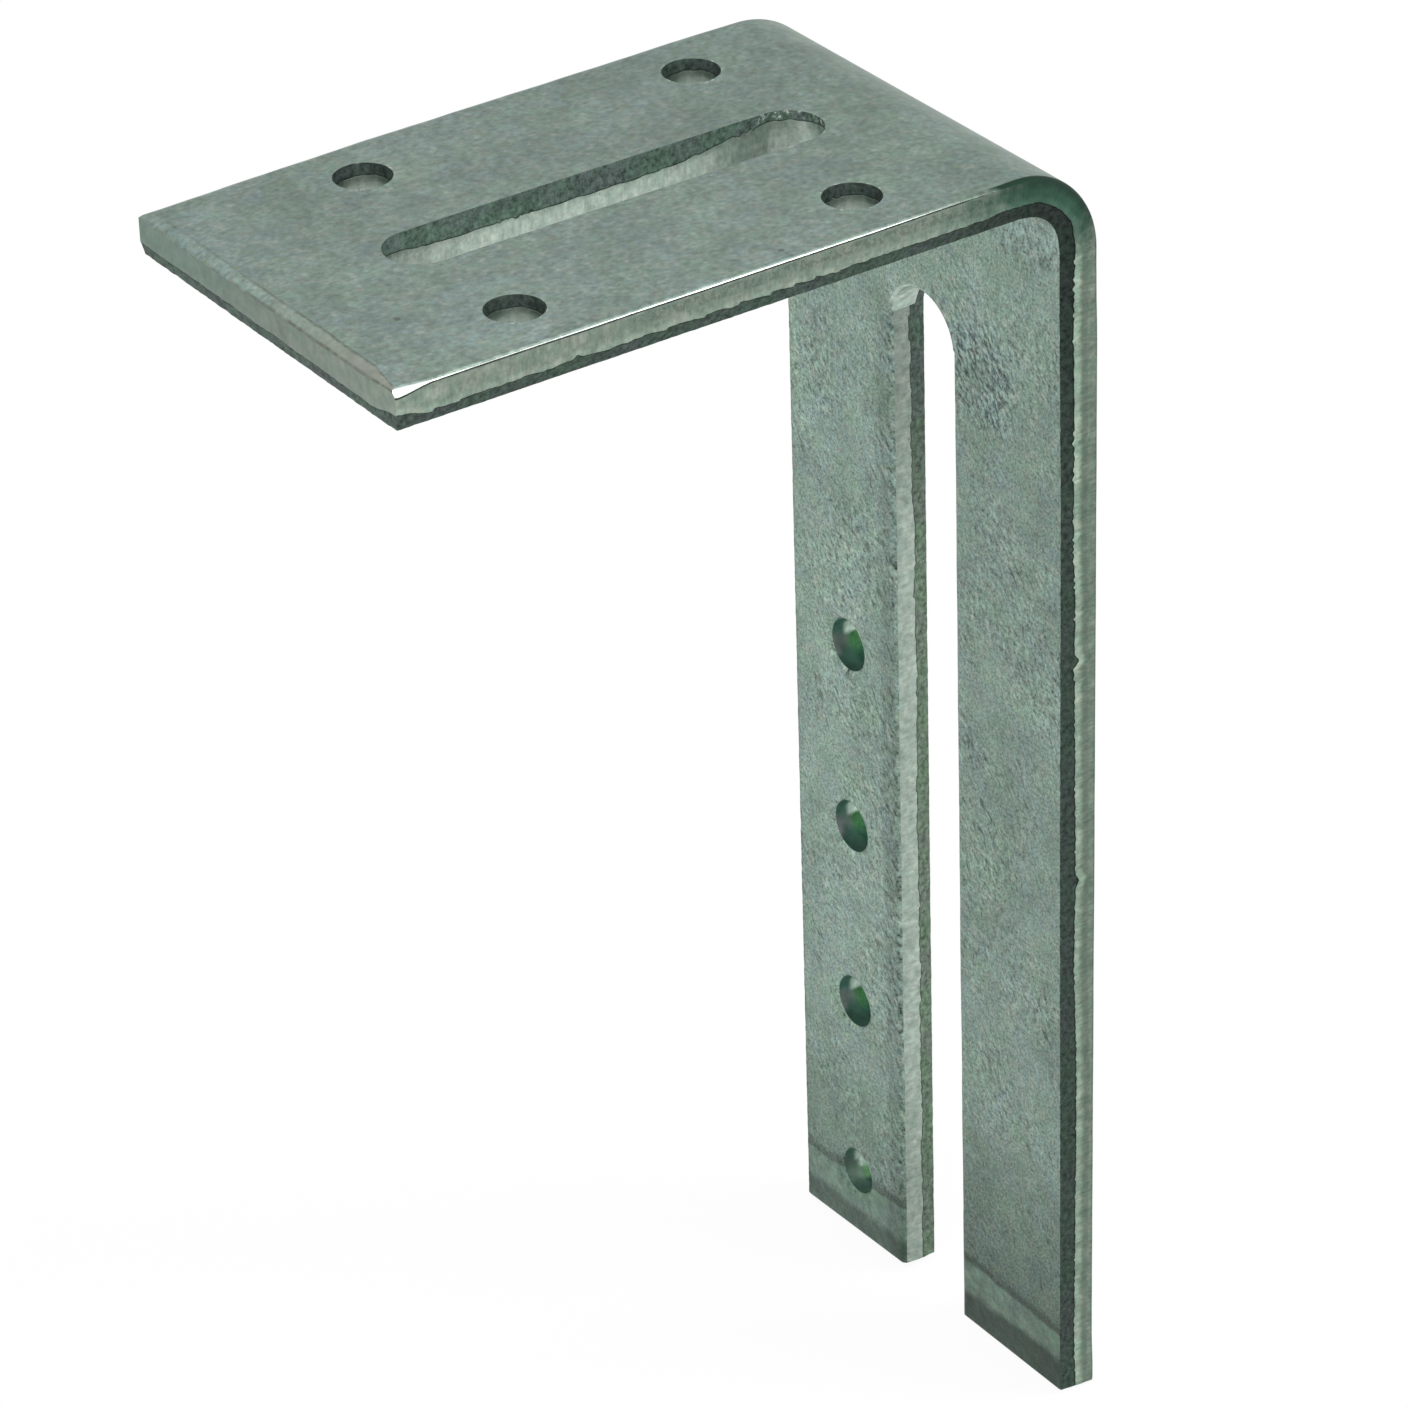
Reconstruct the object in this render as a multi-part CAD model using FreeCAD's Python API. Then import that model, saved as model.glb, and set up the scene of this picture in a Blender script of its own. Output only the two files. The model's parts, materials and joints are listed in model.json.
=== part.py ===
import FreeCAD, Part
import math
import os

# Angle anchor: one galvanised steel plate, parted from a strip, punched and folded square.
# One leg stays whole and lies level. The other hangs down and is split by an open slot into
# two tines, one of which has a row of screw holes.
# X runs across the strip, +Y out of the fork leg's wall face, +Z up to the top leg's face.
# The origin is the bolt seat: the centre of the open slot's round end, on the wall face.

# The plate and its fold
strip_width = 65.0
plate_thickness = 6.0
fold_inner_radius = 6.0
top_leg_length = 110.0
fork_leg_length = 200.0

# The open slot: a punched round bolt seat, then straight sides down to the tips
seat_depth = 37.6
seat_diameter = 14.4
fork_slot_width = 13.8

# The screw holes down one tine
fork_hole_count = 4
fork_hole_diameter = 7.7
fork_hole_pitch = 30.8
fork_hole_end_distance = 11.4
fork_hole_edge_distance = 13.4

# The top leg's closed slot, and a row of two screw holes on each side of it
top_slot_setback = 56.5
top_slot_width = 10.4
top_slot_length = 68.0
top_hole_diameter = 7.7
top_hole_spacing = 52.7
top_hole_edge_distance = 10.0
near_row_setback = 53.9
far_row_setback = 59.4

# A sheared edge: a lip drawn in by the tool, a smooth band, then a torn band that leans back.
# The strip's own edges come from a shear with more play than the punches have.
strip_lip_width = 1.6
strip_lip_depth = 0.75
strip_smooth_depth = 4.2
strip_tear_lean = 0.4
punch_lip_width = 1.2
punch_lip_depth = 0.45
punch_smooth_depth = 3.3
punch_tear_lean = 0.3

# How far the cutting shapes run past the plate
overrun = 2.0

across = FreeCAD.Vector(1, 0, 0)
outward = FreeCAD.Vector(0, 1, 0)
up = FreeCAD.Vector(0, 0, 1)
fold_outer_radius = fold_inner_radius + plate_thickness
top_face_height = seat_depth
tip_height = top_face_height - fork_leg_length
fold_axis_point = FreeCAD.Vector(0, -fold_outer_radius, top_face_height - fold_outer_radius)
strip_flank = (strip_lip_width, strip_lip_depth, strip_smooth_depth, strip_tear_lean)
punch_flank = (punch_lip_width, punch_lip_depth, punch_smooth_depth, punch_tear_lean)


def closed_face(edges):
    """A flat face inside a ring of edges."""
    return Part.Face(Part.Wire(Part.__sortEdges__(edges)))


def chain(points):
    """Straight edges from each point to the next."""
    return [Part.makeLine(start, end) for start, end in zip(points, points[1:])]


def sheared_edge(place, flank):
    """The flank that a shear or punch leaves, from the drawn-in lip to the torn band's end.

    place(inset, depth) gives the point that lies inset into the plate from the smooth band,
    and depth below the face that the tool entered.
    """
    lip_width, lip_depth, smooth_depth, tear_lean = flank
    lip_radius = (lip_width**2 + lip_depth**2) / (2 * lip_depth)
    half_turn = math.asin(lip_width / lip_radius) / 2
    lip_start = place(lip_width, 0)
    lip_middle = place(
        lip_width - lip_radius * math.sin(half_turn),
        lip_radius * (1 - math.cos(half_turn)),
    )
    lip_end = place(0, lip_depth)
    bands = [lip_end, place(0, smooth_depth), place(tear_lean, plate_thickness)]
    return [Part.Arc(lip_start, lip_middle, lip_end).toShape()] + chain(bands)


def strip_section(middle, through):
    """The strip's cross-section, its outer face's middle at a point, with sheared long edges."""
    half_width = strip_width / 2

    def on_side(side):
        return lambda inset, depth: middle + across * side * (half_width - inset) + through * depth

    right, left = on_side(1), on_side(-1)
    outer_rim = (strip_lip_width, 0)
    inner_rim = (strip_tear_lean, plate_thickness)
    faces = [Part.makeLine(left(*rim), right(*rim)) for rim in (outer_rim, inner_rim)]
    return closed_face(sheared_edge(right, strip_flank) + sheared_edge(left, strip_flank) + faces)


def folded_strip():
    """The strip's section carried along the top leg, round the fold and down the fork leg."""
    fold_start = FreeCAD.Vector(0, -fold_outer_radius, top_face_height)
    fold_end = FreeCAD.Vector(0, 0, top_face_height - fold_outer_radius)
    top_section = strip_section(fold_start, -up)
    fork_section = strip_section(fold_end, -outward)
    top_leg = top_section.extrude(-outward * (top_leg_length - fold_outer_radius))
    fold = top_section.revolve(fold_axis_point, -across, 90)
    fork_leg = fork_section.extrude(-up * (fork_leg_length - fold_outer_radius))
    return top_leg.fuse([fold, fork_leg]).removeSplitter()


def parting_cut(corner, along, through):
    """What the parting shear takes away past an end of the strip.

    corner is the end's edge on the face that the shear entered, along points out of the strip
    and through points into the plate.
    """
    side = across * (strip_width / 2 + overrun)

    def place(inset, depth):
        return corner - side - along * inset + through * depth

    waste = [
        place(strip_tear_lean, plate_thickness),
        place(strip_tear_lean, plate_thickness + overrun),
        place(-overrun, plate_thickness + overrun),
        place(-overrun, -overrun),
        place(strip_lip_width, -overrun),
        place(strip_lip_width, 0),
    ]
    return closed_face(sheared_edge(place, strip_flank) + chain(waste)).extrude(side * 2)


def punch_half_profile(width):
    """Half the section of a punched opening, with depth along +Z from the face it entered."""

    def place(inset, depth):
        return across * (width / 2 + inset) + up * depth

    slug = [
        place(punch_tear_lean, plate_thickness),
        place(punch_tear_lean, plate_thickness + overrun),
        up * (plate_thickness + overrun),
        -up * overrun,
        place(punch_lip_width, -overrun),
        place(punch_lip_width, 0),
    ]
    return closed_face(sheared_edge(place, punch_flank) + chain(slug))


def round_punch(diameter):
    """A round opening's slug about +Z."""
    return punch_half_profile(diameter).revolve(FreeCAD.Vector(), up, 360)


def straight_punch(width, length):
    """A straight opening's slug along +Y from the origin."""
    half = punch_half_profile(width).extrude(outward * length)
    return half.fuse(half.mirror(FreeCAD.Vector(), across)).removeSplitter()


def closed_slot_punch(width, length):
    """A slot's slug along Y about the origin, with a round end at each end."""
    first_end = -outward * (length - width) / 2
    middle = straight_punch(width, length - width).translate(first_end)
    ends = [round_punch(width).translate(first_end * side) for side in (1, -1)]
    return middle.fuse(ends).removeSplitter()


def through_top_leg(punch, x, setback):
    """A slug set in the top leg, entering at its underside, setback from the wall face."""
    underside = top_face_height - plate_thickness
    return punch.translate(FreeCAD.Vector(x, -setback, underside))


def through_fork_leg(punch, x, depth):
    """A slug set in the fork leg, entering at its inner face, depth below the top face."""
    place = FreeCAD.Vector(x, -plate_thickness, top_face_height - depth)
    punch.Placement = FreeCAD.Placement(place, FreeCAD.Rotation(across, -90))
    return punch


def top_leg_openings():
    """The closed slot on the middle line, and the two rows of screw holes, one set further out."""
    row_x = strip_width / 2 - top_hole_edge_distance
    slot = closed_slot_punch(top_slot_width, top_slot_length)
    openings = [through_top_leg(slot, 0, top_slot_setback)]
    for x, row_setback in ((-row_x, near_row_setback), (row_x, far_row_setback)):
        for end in (-0.5, 0.5):
            setback = row_setback + end * top_hole_spacing
            openings.append(through_top_leg(round_punch(top_hole_diameter), x, setback))
    return openings


def fork_leg_openings():
    """The bolt seat, the open slot below it, and the row of screw holes in one tine."""
    slot_length = fork_leg_length - seat_depth + overrun
    row_x = fork_hole_edge_distance - strip_width / 2
    openings = [
        through_fork_leg(round_punch(seat_diameter), 0, seat_depth),
        through_fork_leg(straight_punch(fork_slot_width, slot_length), 0, seat_depth),
    ]
    for number in range(fork_hole_count):
        depth = fork_leg_length - fork_hole_end_distance - number * fork_hole_pitch
        openings.append(through_fork_leg(round_punch(fork_hole_diameter), row_x, depth))
    return openings


def parted_ends():
    """The two parting cuts. One strip's tips part from the next strip's free end in one stroke,
    so the free end has its lip on the outer face and the tips have theirs on the inner face."""
    free_end = FreeCAD.Vector(0, -top_leg_length, top_face_height)
    tips = FreeCAD.Vector(0, -plate_thickness, tip_height)
    return [parting_cut(free_end, -outward, -up), parting_cut(tips, -up, outward)]


anchor = folded_strip().cut(top_leg_openings() + fork_leg_openings() + parted_ends())
anchor = anchor.removeSplitter().Solids[0]

os.makedirs("parts", exist_ok=True)
anchor.exportStep("parts/angle_anchor.step")
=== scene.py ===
import json
import math
from collections import namedtuple

import bmesh
import bpy
from mathutils import Matrix, Vector, noise
from mathutils.geometry import delaunay_2d_cdt


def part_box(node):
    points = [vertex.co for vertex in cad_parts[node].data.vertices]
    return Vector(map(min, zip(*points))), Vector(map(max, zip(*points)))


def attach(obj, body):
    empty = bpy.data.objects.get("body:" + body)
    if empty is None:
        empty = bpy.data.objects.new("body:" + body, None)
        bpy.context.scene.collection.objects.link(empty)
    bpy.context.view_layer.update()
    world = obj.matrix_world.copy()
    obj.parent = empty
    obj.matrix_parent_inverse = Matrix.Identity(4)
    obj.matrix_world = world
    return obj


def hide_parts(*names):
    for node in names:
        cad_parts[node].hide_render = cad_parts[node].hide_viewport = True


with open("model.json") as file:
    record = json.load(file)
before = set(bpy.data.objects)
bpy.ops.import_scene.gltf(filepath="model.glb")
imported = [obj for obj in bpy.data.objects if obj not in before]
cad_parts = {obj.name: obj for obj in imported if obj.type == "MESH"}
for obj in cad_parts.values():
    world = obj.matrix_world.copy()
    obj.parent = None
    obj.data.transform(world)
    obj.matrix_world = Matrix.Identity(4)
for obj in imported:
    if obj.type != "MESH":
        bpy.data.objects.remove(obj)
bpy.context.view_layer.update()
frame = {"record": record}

# The folded plate: one length of thick steel strip, punched while flat, folded square, then zinc
# coated. It is the whole anchor. Shears and punches cut it, so each cut edge has a drawn-in lip,
# a smooth band, and a torn band where the steel broke through.

# Lengths on the plate are in millimetres.
MM = 0.001
lowest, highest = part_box("angle_anchor")
mounts = {mount["name"]: mount for mount in frame["record"]["mounts"]}
half_width = highest.x / MM
top_height = highest.z / MM
tip_height = lowest.z / MM
top_leg_length = -lowest.y / MM
thickness = top_height - mounts["top_slot"]["pos_m"][2] / MM
fold_radius = 13.4
fold_thinning = 0.08
seat_radius = 7.3
seat_shift = 0.2
seat_drop = 0.8
seat_ledge = 0.4
slot_left = -6.9
slot_right = 7.4
slot_right_tip = 7.7
end_out_of_square = 1.2
corner_droop = 0.9
droop_reach = 60.0
tip_out_of_square = 0.65
tip_slant = 0.55
tine_taper = 0.4
top_slot_narrowing = 0.15
fork_hole_change = 0.2
clogged_reach = 20.0

# Where the tear has nicks: along the top leg's edge, and by height on the tines.
edge_nick = -83.0
tine_nicks = (-38.4, -74.2)

# The flat blank: u runs across the strip, s along its outer face from the free end to the tips.
fold_start = top_leg_length - fold_radius
fold_end = fold_start + fold_radius * math.pi / 2
blank_length = fold_end + top_height - fold_radius - tip_height


def on_top_leg(y):
    """Where a place on the top leg lies along the blank."""
    return top_leg_length + y


def on_fork_leg(z):
    """Where a height on the fork leg lies along the blank."""
    return fold_end + top_height - fold_radius - z


def droop(u, s):
    """How far the plate hangs down by the free end's back corner, which was bent a little."""
    share = max(0.0, 1 - s / droop_reach)
    return corner_droop * share**2 * (half_width - u) / (2 * half_width)


def folded(u, s, depth):
    """The place in the folded plate of a point of the blank, depth below the outer face."""
    if s <= fold_start:
        y, z = s - top_leg_length, top_height - depth - droop(u, s)
    elif s >= fold_end:
        y, z = -depth, top_height - fold_radius - (s - fold_end)
    else:
        turn = (s - fold_start) / fold_radius
        reach = fold_radius - depth * (1 - fold_thinning * math.sin(2 * turn) ** 2)
        y = reach * math.sin(turn) - fold_radius
        z = reach * math.cos(turn) + top_height - fold_radius
    return Vector((u, y, z)) * MM


def ease(value, start, end):
    """Goes smoothly from 0 to 1 as a value goes from start to end."""
    share = min(1.0, max(0.0, (value - start) / (end - start)))
    return share * share * (3 - 2 * share)


def ripple(place, pitch, seed):
    """A smooth uneven value between about -1 and 1 that changes over a length of edge."""
    return noise.noise(Vector((place / pitch, seed, 0.5)))


def chance(number, seed):
    """An unevenly spread value from 0 to 1 for each whole number."""
    return 0.5 + 0.5 * noise.cell(Vector((number + 0.5, seed + 0.5, 0.5)))


def stretches(place, pitch, seed):
    """Parts an edge into uneven stretches: a stretch's number, and how far along it a place is."""
    warped = place / pitch + 0.5 * ripple(place, 1.7 * pitch, seed)
    number = math.floor(warped)
    return number, warped - number


def peak(value, middle, reach):
    """1 at the middle, falling evenly to 0 at a reach to both sides."""
    return max(0.0, 1 - abs(value - middle) / reach)


def stepped_tear(line):
    """A tear that runs slantwise for a few millimetres, then jumps back."""
    place = line[1]
    number, share = stretches(place, 4.6, 31.0)
    slant = (0.75 * chance(number, 3.0) - 0.2) * (share - 0.5)
    nick = peak(place, on_top_leg(edge_nick), 0.8)
    return slant + 0.14 * ripple(place, 1.4, 13.0) + 0.08 * ripple(place, 0.5, 17.0) - 0.5 * nick


def toothed_tear(line):
    """A straight tear with small teeth of smooth steel left standing, and two torn-out nicks."""
    place = line[1]
    number, share = stretches(place, 1.3, 37.0)
    tooth = peak(share, 0.5, 0.36) * max(0.0, 1.3 * chance(number, 5.0) - 0.45)
    tooth *= 1 - 0.5 * ease(place, on_fork_leg(-20), on_fork_leg(-60))
    wander = 0.22 * ripple(place, 14.0, 11.0) + 0.12 * ripple(place, 1.1, 13.0)
    nick = sum(peak(place, on_fork_leg(z), 1.1) for z in tine_nicks)
    return wander + 0.62 * tooth - 0.8 * nick


def calm_tear(line):
    """A nearly even tear with a few shallow dips."""
    place = line[0] + line[1]
    dips = max(0.0, ripple(place, 4.0, 19.0) - 0.25)
    waves = 0.16 * ripple(place, 9.0, 11.0) + 0.14 * ripple(place, 1.7, 13.0)
    return waves + 0.06 * ripple(place, 0.6, 17.0) - 0.5 * dips


def worn_tear(line):
    """A tear that wanders a little, with small steps."""
    place = line[1]
    number, share = stretches(place, 3.2, 41.0)
    step = 0.5 * (chance(number, 7.0) - 0.5) * (0.6 + 0.4 * share)
    return step + 0.2 * ripple(place, 5.0, 11.0) + 0.14 * ripple(place, 0.9, 13.0)


def frayed_tear(line):
    """A tear with long waves and frayed bits."""
    place = line[0] + line[1]
    frays = max(0.0, ripple(place, 2.3, 29.0) - 0.2) * ripple(place, 0.55, 17.0)
    return 0.2 * ripple(place, 9.0, 11.0) + 0.16 * ripple(place, 1.6, 13.0) + 1.1 * frays


def steady(depth):
    """The same depth or lean all along the edge."""
    return lambda line: depth


def long_edge_depth(line):
    """Shallower at the free end's front corner, along the top leg and past the fold."""
    s = line[1]
    at_corner = (1 - ease(s, 0, 5)) * ease(line[0], -1, 1)
    by_fold = ease(s, fold_start - 10, fold_start) - 0.9 * ease(s, fold_start + 8, fold_end)
    return (
        4.3
        - 0.8 * at_corner
        - 0.3 * ease(s, 4, 14)
        - 0.1 * ease(s, 40, fold_start - 10)
        - 0.3 * by_fold
        + 0.3 * ease(s, fold_end - 4, fold_end + 8)
        - 0.55 * ease(s, on_fork_leg(-10), on_fork_leg(-50))
        - 0.3 * ease(s, on_fork_leg(-70), on_fork_leg(-120))
    )


def free_end_depth(line):
    """Shallower at the front corner."""
    return 4.3 - 0.8 * ease(line[0], half_width - 6, half_width)


def top_slot_depth(line):
    """Deeper towards both ends, most of all by the fold."""
    middle = on_top_leg(mounts["top_slot"]["pos_m"][1] / MM)
    by_fold = ease(line[1] - middle, 12, 31) * (1.9 + 0.8 * ease(line[0], -3, 4))
    return 2.7 + by_fold + 0.9 * ease(middle - line[1], 22, 33)


def tine_lean(line):
    """Leans back less, further down the tine."""
    upper = ease(line[1], fold_end, on_fork_leg(-20))
    return 0.8 - 0.4 * upper - 0.25 * ease(line[1], on_fork_leg(-60), on_fork_leg(-140))


def fork_slot_depth(line):
    """A little deeper down the slot."""
    return 3.2 + 0.5 * ease(line[1], on_fork_leg(0), on_fork_leg(-60))


def even(smooth_tone, torn_tone):
    """The same tones all along the edge."""
    return lambda line: (smooth_tone, torn_tone)


def long_edge_tones(line):
    """Lightest at the free end, with a darker torn band by the fold."""
    by_fold = ease(line[1], fold_start - 20, fold_start + 4)
    return 1.04 - 0.12 * ease(line[1], 3, 14), 1.05 - 0.6 * by_fold


def free_end_tones(line):
    """Lighter towards the front corner."""
    return 0.73 + 0.13 * ease(line[0], 0, half_width - 2), 1.15


def tine_edge_tones(line):
    """The torn band is lighter below the fold."""
    return 0.76, 0.45 + 0.29 * ease(line[1], fold_end, on_fork_leg(-25))


def fork_slot_tones(line):
    """Lighter down the slot, and duller again by the tips."""
    down = ease(line[1], on_fork_leg(-8), on_fork_leg(-45))
    low = ease(line[1], blank_length - 42, blank_length - 12)
    return 1.05 + 0.5 * down - 0.35 * low, 1.3 + 1.05 * down - 0.3 * low


def top_slot_tones(line):
    """Light along the wall, dull on the far side of the end by the fold."""
    y = line[1] - top_leg_length
    dull = ease(y, -42, -30) * (1 - 0.95 * ease(line[0], -5.1, 1.5))
    return 1.72 - 0.66 * dull - 0.6 * (1 - ease(y, -88, -70)), 1.85


# One kind of cut: how wide and deep the lip's round is, how deep the smooth band reaches at a place
# along the strip, the shape of the tear below it, how far the torn band leans back, how light the
# zinc is on the smooth and the torn band, the size of the bevel below the lip, how bright its lip
# is painted, how much of the holes' painted shade and greenish reflection it takes, how creased the
# lip is, and whether the tool came from the outer face.
least_bevel = 0.02
Cut = namedtuple(
    "Cut",
    "lip smooth_depth tear tear_lean tones bevel shine green creased from_outside",
    defaults=(least_bevel, 0.0, 0.0, 0.0, False),
)
long_edge_cut = Cut(
    lip=(0.8, 0.14), bevel=0.13, smooth_depth=long_edge_depth, tear=stepped_tear,
    tear_lean=steady(0.8), tones=long_edge_tones, shine=1.0, from_outside=True,
)
back_edge_cut = long_edge_cut._replace(lip=(1.2, 0.4), bevel=0.3, tear_lean=steady(0.3))
tine_edge_cut = Cut(
    lip=(0.5, 0.25), smooth_depth=long_edge_depth, tear=toothed_tear,
    tear_lean=tine_lean, tones=tine_edge_tones, shine=0.3, from_outside=True,
)
back_tine_cut = tine_edge_cut._replace(tear_lean=steady(0.85))
free_end_cut = Cut(
    lip=(1.8, 0.7), smooth_depth=free_end_depth, tear=calm_tear,
    tear_lean=steady(0.4), tones=free_end_tones, creased=1.0, from_outside=True,
)
tip_cut = Cut(
    lip=(0.3, 0.1), smooth_depth=steady(4.2), tear=calm_tear,
    tear_lean=steady(0.0), tones=even(0.83, 1.2),
)
fork_slot_cut = Cut(
    lip=(1.1, 0.6), smooth_depth=fork_slot_depth, tear=worn_tear,
    tear_lean=steady(0.3), tones=fork_slot_tones,
)
seat_cut = Cut(
    lip=(0.55, 0.3), smooth_depth=steady(4.6), tear=calm_tear,
    tear_lean=steady(0.25), tones=even(1.85, 1.2),
)
top_slot_cut = Cut(
    lip=(0.15, 0.06), smooth_depth=top_slot_depth, tear=frayed_tear,
    tear_lean=steady(0.1), tones=top_slot_tones,
)
top_hole_cut = Cut(
    lip=(0.4, 0.15), smooth_depth=steady(4.3), tear=frayed_tear,
    tear_lean=steady(0.2), tones=even(1.2, 1.15),
)
fork_hole_cut = Cut(
    lip=(1.1, 0.5), smooth_depth=steady(3.2), tear=calm_tear,
    tear_lean=steady(0.2), tones=even(0.6, 1.0), green=1.0,
)
clogged_hole_cut = fork_hole_cut._replace(tones=even(1.0, 2.2), green=0.85)
fold_lip_width = 1.1
fold_lip_depth = 0.5


def lip_shape(cut, line):
    """How wide and deep the lip's rounded part is here, and how wide the bevel below it.

    The bevel is wide at one corner of the free end and dies out by the fold, where the lip is
    drawn in further. The tines' lip dies out at the tips.
    """
    place = line[0] + line[1]
    size = 1 + 0.14 * ripple(place, 13.0, 3.0) + 0.06 * ripple(place, 3.0, 5.0)
    width, depth = cut.lip
    bevel = cut.bevel
    if cut in (long_edge_cut, back_edge_cut, tine_edge_cut, back_tine_cut):
        drawn = ease(line[1], fold_start - 8, fold_start + 6)
        drawn *= 1 - ease(line[1], fold_end, fold_end + 16)
        width += (fold_lip_width - width) * drawn
        depth += (fold_lip_depth - depth) * drawn
        bevel *= 1 + 0.5 * ripple(line[1], 7.0, 23.0)
        bevel += (least_bevel - bevel) * ease(line[1], fold_start - 30, fold_start - 5)
        size *= 1 - 0.8 * ease(line[1], blank_length - 9, blank_length - 2)
    if cut is long_edge_cut:
        bevel += 0.75 * (1 - ease(line[1], 0.3, 6))
    if cut is free_end_cut:
        size *= 1 - 0.6 * ease(line[0], half_width - 9, half_width - 0.5)
    return width * size, depth * size, bevel


least_torn_band = 0.3
coarse_pitch = 1.9
fine_pitch = 0.7
most_roughness = 0.14
tear_step = 0.04
least_step = 0.01


def tear_depth(cut, line):
    """How deep the steel broke through here, below the face that the tool entered."""
    return min(cut.smooth_depth(line) + cut.tear(line), thickness - least_torn_band)


def lip_inset(cut, line, depth):
    """How far the lip stands back at a depth."""
    lip_width, lip_depth, bevel = lip_shape(cut, line)
    if depth > lip_depth:
        return max(0.0, bevel + lip_depth - depth)
    lip_radius = (lip_width**2 + lip_depth**2) / (2 * lip_depth)
    return bevel + lip_width - math.sqrt(max(0.0, depth * (2 * lip_radius - depth)))


def inset_at(cut, line, outer_depth):
    """How far the flank stands back into the plate from the smooth band, at a depth."""
    depth = outer_depth if cut.from_outside else thickness - outer_depth
    tear = tear_depth(cut, line)
    slant = tip_slant * (1 - depth / thickness) if cut is tip_cut else 0.0
    if depth <= tear:
        return slant + lip_inset(cut, line, depth)
    broken = (depth - tear) / (thickness - tear)
    lean = cut.tear_lean(line)
    place = Vector((line[0], line[1], depth))
    rough = 0.5 * noise.noise(place / coarse_pitch) + 0.5 * noise.noise(place / fine_pitch)
    roughness = min(most_roughness, 0.4 * lean)
    return slant + max(least_step, tear_step + lean * broken + roughness * rough)


lip_steps = 6
smooth_shares = (0.05, 0.36, 0.7, 0.98)
torn_shares = (0.04, 0.18, 0.36, 0.54, 0.72, 0.88, 1.0)


def row_depths(cut, line):
    """Depths below the outer face at which a flank has a row of points."""
    lip_width, lip_depth, bevel = lip_shape(cut, line)
    lip_radius = (lip_width**2 + lip_depth**2) / (2 * lip_depth)
    lip_turn = math.asin(min(1.0, lip_width / lip_radius))
    tear = tear_depth(cut, line)
    lip_end = lip_depth + bevel
    turns = [lip_turn * step / lip_steps for step in range(lip_steps + 1)]
    rows = [lip_radius * (1 - math.cos(turn)) for turn in turns]
    rows += [lip_depth + bevel / 2, lip_end]
    rows += [lip_end + (tear - lip_end) * share for share in smooth_shares]
    rows += [tear + (thickness - tear) * share for share in torn_shares]
    return rows if cut.from_outside else [thickness - depth for depth in reversed(rows)]


# A run of edge is a row of columns from one face to the other. Each column knows its place on the
# edge line, which way is into the plate, and how much of a corner's mitre reaches it.
Column = namedtuple("Column", "line inward along start_pull end_pull")
Run = namedtuple("Run", "cut columns")
column_pitch = 0.33
corner_reach = 6.0
face_margin = 0.5


def straight_run(cut, start, end, mitred="neither"):
    """A straight stretch of edge, with the plate to its left. Its start, end or both are mitred."""
    length = math.dist(start, end)
    along = ((end[0] - start[0]) / length, (end[1] - start[1]) / length)
    inward = (-along[1], along[0])
    count = max(2, round(length / column_pitch))
    columns = []
    for number in range(count):
        run = length * number / count
        line = (start[0] + along[0] * run, start[1] + along[1] * run)
        start_pull = peak(run, 0, corner_reach) if mitred in ("start", "both") else 0.0
        end_pull = peak(run, length, corner_reach) if mitred in ("end", "both") else 0.0
        columns.append(Column(line, inward, along, start_pull, end_pull))
    return Run(cut, columns)


def round_run(cut, centre, radius, first_angle, last_angle):
    """A round stretch of an opening's edge, with the plate outside the circle."""
    turn = last_angle - first_angle
    count = max(8, round(abs(turn) * radius / column_pitch))
    columns = []
    for number in range(count):
        angle = first_angle + turn * number / count
        inward = (math.cos(angle), math.sin(angle))
        line = (centre[0] + inward[0] * radius, centre[1] + inward[1] * radius)
        columns.append(Column(line, inward, (inward[1], -inward[0]), 0.0, 0.0))
    return Run(cut, columns)


def outline_runs():
    """The edge all round the blank: free end, long edges, tips, open slot and bolt seat."""
    tips = blank_length
    short_tip = tips - tip_out_of_square
    seat = on_fork_leg(-seat_drop)
    ledge = on_fork_leg(seat_ledge)
    ledge_angle = math.asin((ledge - seat) / seat_radius)
    front, back = half_width, -half_width
    front_tip = half_width - tine_taper
    end_front, end_back = (front, 0), (back, end_out_of_square)
    return [
        straight_run(free_end_cut, end_back, end_front, mitred="both"),
        straight_run(long_edge_cut, end_front, (front, fold_start), mitred="start"),
        straight_run(long_edge_cut, (front, fold_start), (front, fold_end)),
        straight_run(tine_edge_cut, (front, fold_end), (front_tip, tips), mitred="end"),
        straight_run(tip_cut, (front_tip, tips), (slot_right_tip, tips), mitred="both"),
        straight_run(fork_slot_cut, (slot_right_tip, tips), (slot_right, ledge), mitred="start"),
        round_run(seat_cut, (seat_shift, seat), seat_radius, ledge_angle, -math.pi - ledge_angle),
        straight_run(fork_slot_cut, (slot_left, ledge), (slot_left, short_tip), mitred="end"),
        straight_run(tip_cut, (slot_left, short_tip), (back, tips), mitred="both"),
        straight_run(back_tine_cut, (back, tips), (back, fold_end), mitred="start"),
        straight_run(back_edge_cut, (back, fold_end), (back, fold_start)),
        straight_run(back_edge_cut, (back, fold_start), end_back, mitred="end"),
    ]


def slot_runs(cut, centre, radius, length):
    """The edge of a closed slot that lies along the strip."""
    reach = length / 2 - radius
    near, far = centre[1] - reach, centre[1] + reach
    return [
        straight_run(cut, (centre[0] + radius, far), (centre[0] + radius, near)),
        round_run(cut, (centre[0], near), radius, 0, -math.pi),
        straight_run(cut, (centre[0] - radius, near), (centre[0] - radius, far)),
        round_run(cut, (centre[0], far), radius, math.pi, 0),
    ]


def hole_runs(cut, centre, radius):
    """The edge of a round hole."""
    return [round_run(cut, centre, radius, 0, -2 * math.pi)]


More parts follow.
